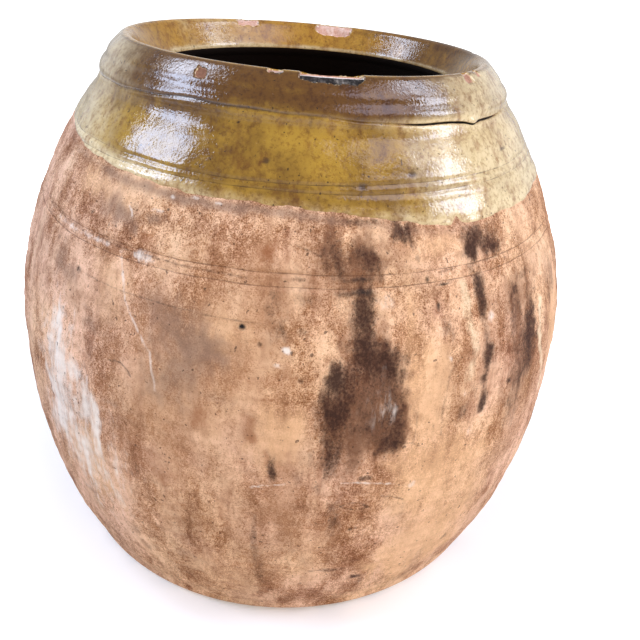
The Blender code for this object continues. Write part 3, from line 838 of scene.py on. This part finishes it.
# %% Chips
CHIPS = (  # angle and half-width in degrees, then radius, height, reach and depth in metres
    (6.0, 8.0, 0.1396, 0.4094, 0.0060, 0.0016),
    (-7.5, 2.0, 0.1388, 0.4098, 0.0034, 0.0012),
    (-26.0, 1.5, 0.1463, 0.4035, 0.0042, 0.0006),
    (49.0, 2.0, 0.1416, 0.4081, 0.0042, 0.0010),
    (56.0, 1.2, 0.1402, 0.4092, 0.0030, 0.0010),
    (-155.0, 4.5, 0.1348, 0.4088, 0.0048, 0.0010),
    (170.0, 7.0, 0.1333, 0.4070, 0.0064, 0.0010),
    (100.0, 4.0, 0.1420, 0.4085, 0.0045, 0.0016),
)
RIM_CORE = (0.1395, 0.396)
NEAR_CHIP, COLLAR_CHIP, RIGHT_CHIP = 6, -26, 52


def chip_share(theta, r, z):
    """1 inside a chip and 0 outside, and the depth it takes off: a rounded box in angle and distance,
    whose edge is half a millimetre wide and frayed by noise."""
    share, depth = np.zeros(theta.shape), np.zeros(theta.shape)
    here = place(r, z, theta)
    fray = 0.0006 * waves(here, 0.008, 11) + 0.0002 * waves(here, 0.004, 12)
    for angle, wide, radius, height, reach, deep in CHIPS:
        across = (from_angle(theta, angle) / wide) ** 4
        along = ((r - radius) ** 2 + (z - height) ** 2) ** 2 / reach**4
        span = (across * np.radians(wide) * radius + along * reach) / (across + along + 1e-9)
        inside = smooth_step((1 - (across + along) ** 0.25) * span + fray, -0.0001, 0.0005)
        share, depth = np.maximum(share, inside), np.maximum(depth, deep * inside)
    return share, depth


def rim_rows(outline, theta, face):
    """The thrown outline with the chips pressed towards the middle of the rim, and the chips' share."""
    r, z = (np.broadcast_to(outline[:, k:k + 1], theta.shape) for k in (0, 1))
    share, depth = chip_share(theta, r, z)
    inward = np.stack([RIM_CORE[0] - r, RIM_CORE[1] - z], -1)
    inward /= np.linalg.norm(inward, axis=-1)[..., None]
    return thrown(r + depth * inward[..., 0], z + depth * inward[..., 1], theta, face), share


print(len(CHIPS), "chips, up to", 1000 * max(chip[-1] for chip in CHIPS), "mm deep")

# %% Neck ring and collar
CREST_RADIUS, CREST_END = 0.137, 0.402
HIDDEN_TOP = RIM - 0.001
RIM_COLUMNS = 960
NO_SCORE = 9.0
neck_skin = curve((
    (0.1300, 0.3795), (0.1262, 0.3825), (0.1236, 0.3860), (0.1231, 0.3888), (0.1242, 0.3920),
    (0.1288, 0.4003), (0.1324, 0.4066), (0.1345, 0.4090), (CREST_RADIUS, RIM),
), 50)
neck_lip = int(np.argmin(neck_skin[:, 0])) - 1
crest = curve((
    (CREST_RADIUS, RIM), (0.1388, 0.4098), (0.1405, 0.4090), (0.1423, 0.4075), (0.1446, 0.4053),
    (float(outer_face(CREST_END)), CREST_END),
), 20)
collar_skin = np.vstack([crest[:-1], rows_between((CREST_END, SEAM + SEAM_ROWS_REACH, SEAM), (22, 9))])


def rim_piece(name, skin, hidden, face, node):
    """A closed ring of the rim: its skin with chips, and hidden rows back to the start."""
    theta = turn_grid(RIM_COLUMNS, len(skin))
    rows, share = rim_rows(skin, theta, face)
    back = thrown(hidden[:, :1], hidden[:, 1:], theta[:len(hidden)], face=False)
    big_chip = share * near(theta, NEAR_CHIP, 12)
    top_edge = big_chip * (1 - smooth_step(skin[:, :1], 0.1382, 0.1392))
    # Painted shade in the open seam, added to the mask of soot.
    open_seam = crack_shade(theta, skin[:, 1:]) * (skin[:, :1] > CREST_RADIUS)
    border = 1.6 * hump(share, 0.72, 0.2) * (share > 0.05)
    far = share * near(theta, 180, 60)
    worn = 1.3 * share * (near(theta, COLLAR_CHIP, 6) + 0.6 * near(theta, RIGHT_CHIP, 9))
    masks = {
        "soot_and_shade": 3.0 * big_chip + open_seam,
        "lime": border * (1 - worn) + 1.6 * top_edge + 0.2 * far,
        "umber": worn,
    }
    blank = np.zeros((len(hidden), theta.shape[1]))
    masks = {mask: np.vstack([values, blank]) for mask, values in masks.items()}
    # Painted shade: the neck's rows below the throat's lip are coloured near black.
    throat = smooth_step(-skin[:, 1], -0.3885, -0.3870) * (skin[:, 0] < CREST_RADIUS)
    masks["inside"] = np.r_[throat, np.zeros(len(hidden))][:, None]
    masks["score"] = NO_SCORE
    sharp = [0, *range(len(skin) - 1, len(skin) + len(hidden))]
    mesh = grid_mesh(name, np.concatenate([rows, back]), masks, sharp_rows=sharp)
    add_piece(mesh, broken, node)


neck_back = REBATE_RADIUS - HIDDEN_GAP
neck_hidden = np.array([(CREST_RADIUS, HIDDEN_TOP), (neck_back, SEAM), (neck_back, NECK_FOOT)])
collar_hidden = np.array([(REBATE_RADIUS, SEAM), (CREST_RADIUS + HIDDEN_GAP, HIDDEN_TOP)])
rim_piece("thrown_neck", neck_skin, neck_hidden, False, "neck_ring")
rim_piece("thrown_collar", collar_skin, collar_hidden, True, "rim_collar")

# %% [markdown]
# ## Glaze coat
# Where the glaze pooled, on the collar, it is amber; where it ran off the rolls and down to its edge it
# is straw-coloured; inside the mouth it is golden. A pale band on the collar's lower roll at the right
# front is a painted sheen, and the pale band along the throat's edge is partly a painted highlight.
# A flow could be simulated, but these are a few places, so each is a bell or a step in angle and height.

# %% Tones of the glaze
def glaze_tones(theta, r, z, edge):
    """How amber the glaze is, where it lies thick, how straw-coloured, where it ran thinly, with a painted
    sheen on the collar's lower roll and a highlight, partly painted, at the throat's rounded edge, and how
    golden, inside the mouth: sums of bells and steps in angle and height."""
    outer = smooth_step(r, 0.1375, 0.1415)
    collar = smooth_step(z, SEAM - 0.002, SEAM + 0.005) * outer
    under_seam = smooth_step(z, 0.372, 0.381) * outer * near(theta, -38, 30)
    bevel = (1 - outer) * (0.05 + 0.65 * near(theta, 118, 40) + 0.15 * smooth_step(z, 0.402, 0.408))
    rolls = hump(z, UPPER_ROLL, 0.0030) + hump(z, LOWER_ROLL, 0.0030)
    pooled = 0.86 - 0.30 * rolls + 0.26 * np.cos(np.radians(theta + 10))
    amber = collar * pooled + 0.55 * under_seam * (1 - collar) + bevel
    right = smooth_step(theta - 9 * collar, 8, 40) * (1 - smooth_step(theta, 95, 140))
    left = smooth_step(-theta, 36, 58) * (1 - smooth_step(-theta, 100, 150))
    under = smooth_step(z, 0.370, 0.380) * (1 - collar)
    sides = (0.80 * right + 0.56 * left) * outer * (1 - 0.15 * collar) * (1 - 0.2 * under)
    low = 0.6 * (1 - smooth_step(z, 0.349, 0.358)) * near(theta, -45, 24)
    # Painted sheen: a pale band on the collar's lower roll at the right front.
    roll = 0.55 * hump(z, SEAM + 0.001, 0.004) * near(theta, 30, 17) * outer
    fringe = 0.3 * (1 - smooth_step(z - edge, 0.001, 0.008))
    # Partly worn glaze and partly a painted highlight: a pale band along the throat's edge. The far bevel's
    # left part is paler too.
    lip_highlight = (0.5 * hump(z, 0.3890, 0.0022) + 0.35 * near(theta, -140, 34)) * (1 - outer)
    return {"amber": amber, "thin_and_sheen": sides + low + roll + fringe + lip_highlight, "gold": 0.65 * (1 - outer)}


front_tones = glaze_tones(0.0, RIM_CORE[0] + 0.01, UPPER_ROLL, NECK_END[0])
print("tones in front:", {tone: round(float(share), 2) for tone, share in front_tones.items()})

# %% [markdown]
# The coat follows the clay from the throat over the rim and down the shoulder, lifted off it by half a
# millimetre. It could be a copy of the clay made thicker, but then it would have no edge. Here the lift
# turns negative below the ragged lower edge, in the chips and in the open crack, so the film dives under
# the clay and ends there as real glaze does, with a rounded edge. It is made in two sheets that meet in
# the seam.

# %% Glaze sheets
LIFT, SUNK, BACK = 0.0005, -0.0006, -0.0014
PIT_DEPTH, GLAZE_FOOT = 0.0004, 0.324
RIM_GLAZE_COLUMNS, SHOULDER_GLAZE_COLUMNS = 800, 960
PITS = (  # angle, height in mm, half-width in degrees, half-height in mm, strength
    (-7, 366, 1.0, 2, 0.8), (12, 355.5, 1.0, 2.4, 1), (23, 361, 1.2, 2, 0.9), (53, 365, 2, 1.2, 0.8),
    (1.5, 382, 0.7, 3, 0.5), (-58, 358.5, 1, 1, 0.7), (-14, 361, 1.2, 3, 0.4), (120, 362, 1.2, 2, 0.9),
    (-130, 358, 1, 2, 0.8), (75, 350, 1, 2, 0.7),
)


def outward(rows):
    """Unit normals of a grid, from the cross product of its row and column directions."""
    normal = np.cross(np.gradient(rows, axis=0), np.roll(rows, -1, axis=1) - np.roll(rows, 1, axis=1))
    return normal / np.linalg.norm(normal, axis=-1)[..., None]


def glaze_sheet(name, stretches, columns):
    """A closed sheet along stretches of outline, given with their face setting: the front lies on the
    clay or dives under it, and every fourth row comes back beneath it."""
    theta = turn_grid(columns, sum(len(outline) for outline, _ in stretches))
    placed = [rim_rows(outline, theta[:len(outline)], face) for outline, face in stretches]
    rows, chips = (np.concatenate(parts) for parts in zip(*placed))
    outline = np.vstack([outline for outline, _ in stretches])
    r, z = (np.broadcast_to(outline[:, k:k + 1], theta.shape) for k in (0, 1))
    outer = r > CREST_RADIUS + 0.003
    edge = glaze_edge(theta, place(r, z, theta))
    open_crack = crack_share(theta) * hump(z, SEAM, 0.0008) * outer
    covered = smooth_step(z - edge, -0.0005, 0.0010) * (1 - chips) * (1 - smooth_step(open_crack, 0.3, 0.6))
    closed = (0.3 + 0.6 * near(theta, -24, 20)) * (1 - crack_share(theta))
    pits = (soft_patches(theta, z, PITS) + closed * hump(z, SEAM, 0.0011)) * outer
    normal = outward(rows)
    lift = SUNK + (LIFT - SUNK) * covered - PIT_DEPTH * np.clip(pits, 0, 1)
    front = rows + lift[..., None] * normal
    every = np.r_[np.arange(len(rows) - 1, 0, -4), 0]
    masks = glaze_tones(theta, r, z, edge) | pair_masks(theta, z, SHOULDER_PAIR) | {"pit": pits}
    masks["thin_and_sheen"] = masks["thin_and_sheen"] + 0.9 * smooth_step(chips, 0.0, 0.02)
    masks = {mask: np.concatenate([values, values[every]]) for mask, values in masks.items()}
    ends = [0, len(rows) - 1, len(rows), len(rows) + len(every) - 1]
    sheet = grid_mesh(name, np.concatenate([front, (rows + BACK * normal)[every]]), masks, sharp_rows=ends)
    add_piece(sheet, amber_glaze, "glaze_coat")


glazed_shoulder = rows_between((SEAM, SEAM - SEAM_ROWS_REACH, GLAZE_FOOT), (9, 66))
glaze_sheet("rim_glaze", [(neck_skin[neck_lip:-1], False), (collar_skin, True)], RIM_GLAZE_COLUMNS)
glaze_sheet("shoulder_glaze", [(glazed_shoulder, True)], SHOULDER_GLAZE_COLUMNS)

# %% [markdown]
# ## Stage
# The jar stands on matt white paper. Close to the jar the paper keeps its soft shadow, and further out it
# glows to the camera, so that it turns white. A curved backdrop would do as well, but then views from
# other sides would show its end.

# %% Floor
FLOOR_SIDE, SHADOW_REACH, WHITE_FROM = 30, 0.22, 0.60


def seen_rays(tree):
    """1 for rays that show the background to the eye: straight, mirrored or through glass."""
    camera_ray = add(tree, "LightPath", {}, "Is Camera Ray")
    mirrored = add(tree, "LightPath", {}, "Is Glossy Ray")
    through = add(tree, "LightPath", {}, "Is Transmission Ray")
    seen = add(tree, "Math", {0: camera_ray, 1: mirrored}, operation="MAXIMUM")
    return add(tree, "Math", {0: seen, 1: through}, operation="MAXIMUM")


bpy.ops.mesh.primitive_plane_add(size=FLOOR_SIDE, location=(0, 0, 0))
floor = bpy.context.object
floor.name = "floor"
# Paper scatters light evenly: to the eye it has no gloss, only the shadow that lies on it.
paper, tree, shader = new_material("matt white paper")
seen = seen_rays(tree)
grey = lay(tree, linear("#BCB8B3"), mottle(tree, 900), (0.3, 0.7), 1.0, "#C2BEB9")
shown = add(tree, "Mix", {0: seen, 6: grey, 7: linear("#FAFAFA")}, 2, data_type="RGBA")
tree.links.new(shown, shader.inputs["Base Color"])
shader.inputs["Roughness"].default_value = 0.9
shader.inputs["Emission Color"].default_value = (1, 1, 1, 1)
away = add(tree, "VectorMath", {0: add(tree, "TexCoord", {}, "Object")}, "Value", operation="LENGTH")
fade = {0: away, 1: SHADOW_REACH, 2: WHITE_FROM, 3: 0.10, 4: 1.0}
far = add(tree, "MapRange", fade, interpolation_type="SMOOTHSTEP")
straight = add(tree, "LightPath", {}, "Is Camera Ray")
glow = add(tree, "Math", {0: far, 1: straight}, operation="MULTIPLY")
tree.links.new(glow, shader.inputs["Emission Strength"])
floor.data.materials.append(paper)
print("floor", FLOOR_SIDE, "m wide, white from", WHITE_FROM, "m out")

# %% [markdown]
# ## Light
# Cool windows and skylights at the left and the right and a patch of bright sky at the upper right give
# the glaze its highlights. A warm, wide fill lights the front and is hidden from mirrored rays, because a
# studio panel would show in the gloss. The world is a plain grey room: white to the camera, and near the
# horizon to mirrored rays, so that the gloss shows the white paper there. A picture of a room could light
# the jar as well, but lamps need no file.

# %% Lights
def window(name, position, target, width, height, watts, colour):
    """A rectangular area light that faces a target."""
    light = bpy.data.lights.new(name, "AREA")
    light.shape, light.size, light.size_y = "RECTANGLE", width, height
    light.energy, light.color = watts, linear(colour)[:3]
    holder = bpy.data.objects.new(name, light)
    holder.location = position
    holder.rotation_euler = (Vector(target) - Vector(position)).to_track_quat("-Z", "Y").to_euler()
    bpy.context.scene.collection.objects.link(holder)
    return holder


LAMPS = (  # name, place, target, width, height, watts, colour
    ("left window", (-1.45, -0.33, 1.32), (0, 0, 0.36), 0.62, 0.75, 18, "#CFE0FF"),
    ("right window", (1.45, -0.28, 1.15), (0, 0, 0.36), 0.50, 0.60, 10, "#E4ECFF"),
    ("left skylight", (-1.45, 0.28, 2.10), (0, 0, 0.40), 0.45, 0.80, 14, "#DCE8FF"),
    ("right skylight", (1.45, 0.22, 2.05), (0, 0, 0.40), 0.45, 0.80, 9, "#E4ECFF"),
    ("bright sky", (1.15, -0.75, 2.10), (0, 0, 0.40), 1.20, 1.00, 9, "#EAE6FF"),
)
for lamp in LAMPS:
    window(*lamp)
fill = window("front fill", (0.75, -2.20, 0.95), (0, 0, 0.12), 1.8, 1.6, 32, "#FFF6EA")
fill.visible_glossy = False
print(len(LAMPS) + 1, "lamps,", sum(lamp[5] for lamp in LAMPS) + fill.data.energy, "W in all")

# %% World
ROOM_STRENGTH, WHITE = 0.45, 1.0
LOW_BAND = (0.15, 0.40)
world = bpy.data.worlds.new("room")
bpy.context.scene.world = world
world.use_nodes = True
sky = world.node_tree.nodes["Background"]
sky.inputs["Color"].default_value = linear("#FFFFFF")
tree = world.node_tree
upward = add(tree, "SeparateXYZ", {0: add(tree, "TexCoord", {}, "Object")}, "Z")
low = add(tree, "MapRange", {0: upward, 1: LOW_BAND[0], 2: LOW_BAND[1], 3: 1.0, 4: 0.0})
paper_white = add(tree, "Math", {0: seen_rays(tree), 1: low}, operation="MULTIPLY")
straight = add(tree, "LightPath", {}, "Is Camera Ray")
paper_white = add(tree, "Math", {0: paper_white, 1: straight}, operation="MAXIMUM")
strength = add(tree, "MapRange", {0: paper_white, 3: ROOM_STRENGTH, 4: WHITE})
tree.links.new(strength, sky.inputs["Strength"])
print("world of strength", ROOM_STRENGTH, "and, to the camera,", WHITE)

# %% [markdown]
# ## Camera
# The camera stands where a phone was held: 0.58 m in front of the axis, just above the rim, looking down
# and a little to the right, and rolled. An empty to track could aim it, but three angles say the same and
# give the roll too.

# %% Camera
CAMERA_AT = (0.0, -0.5766, 0.4899)
TURNED_RIGHT, LOOKING_DOWN, ROLLED = 2.5576, 29.3925, 4.4664
FOCAL_PIXELS, IMAGE_PIXELS = 700, 640
lens = bpy.data.cameras.new("camera")
lens.sensor_width = 36
lens.lens = lens.sensor_width * FOCAL_PIXELS / IMAGE_PIXELS
camera = bpy.data.objects.new("camera", lens)
heading, tilt, roll = (
    Matrix.Rotation(np.radians(angle), 4, axis)
    for angle, axis in ((-TURNED_RIGHT, "Z"), (90 - LOOKING_DOWN, "X"), (ROLLED, "Z"))
)
camera.matrix_world = Matrix.Translation(CAMERA_AT) @ heading @ tilt @ roll
bpy.context.scene.collection.objects.link(camera)
bpy.context.scene.camera = camera
bpy.context.scene.view_settings.view_transform = "Standard"
print(f"camera of {lens.lens:.1f} mm at", CAMERA_AT)
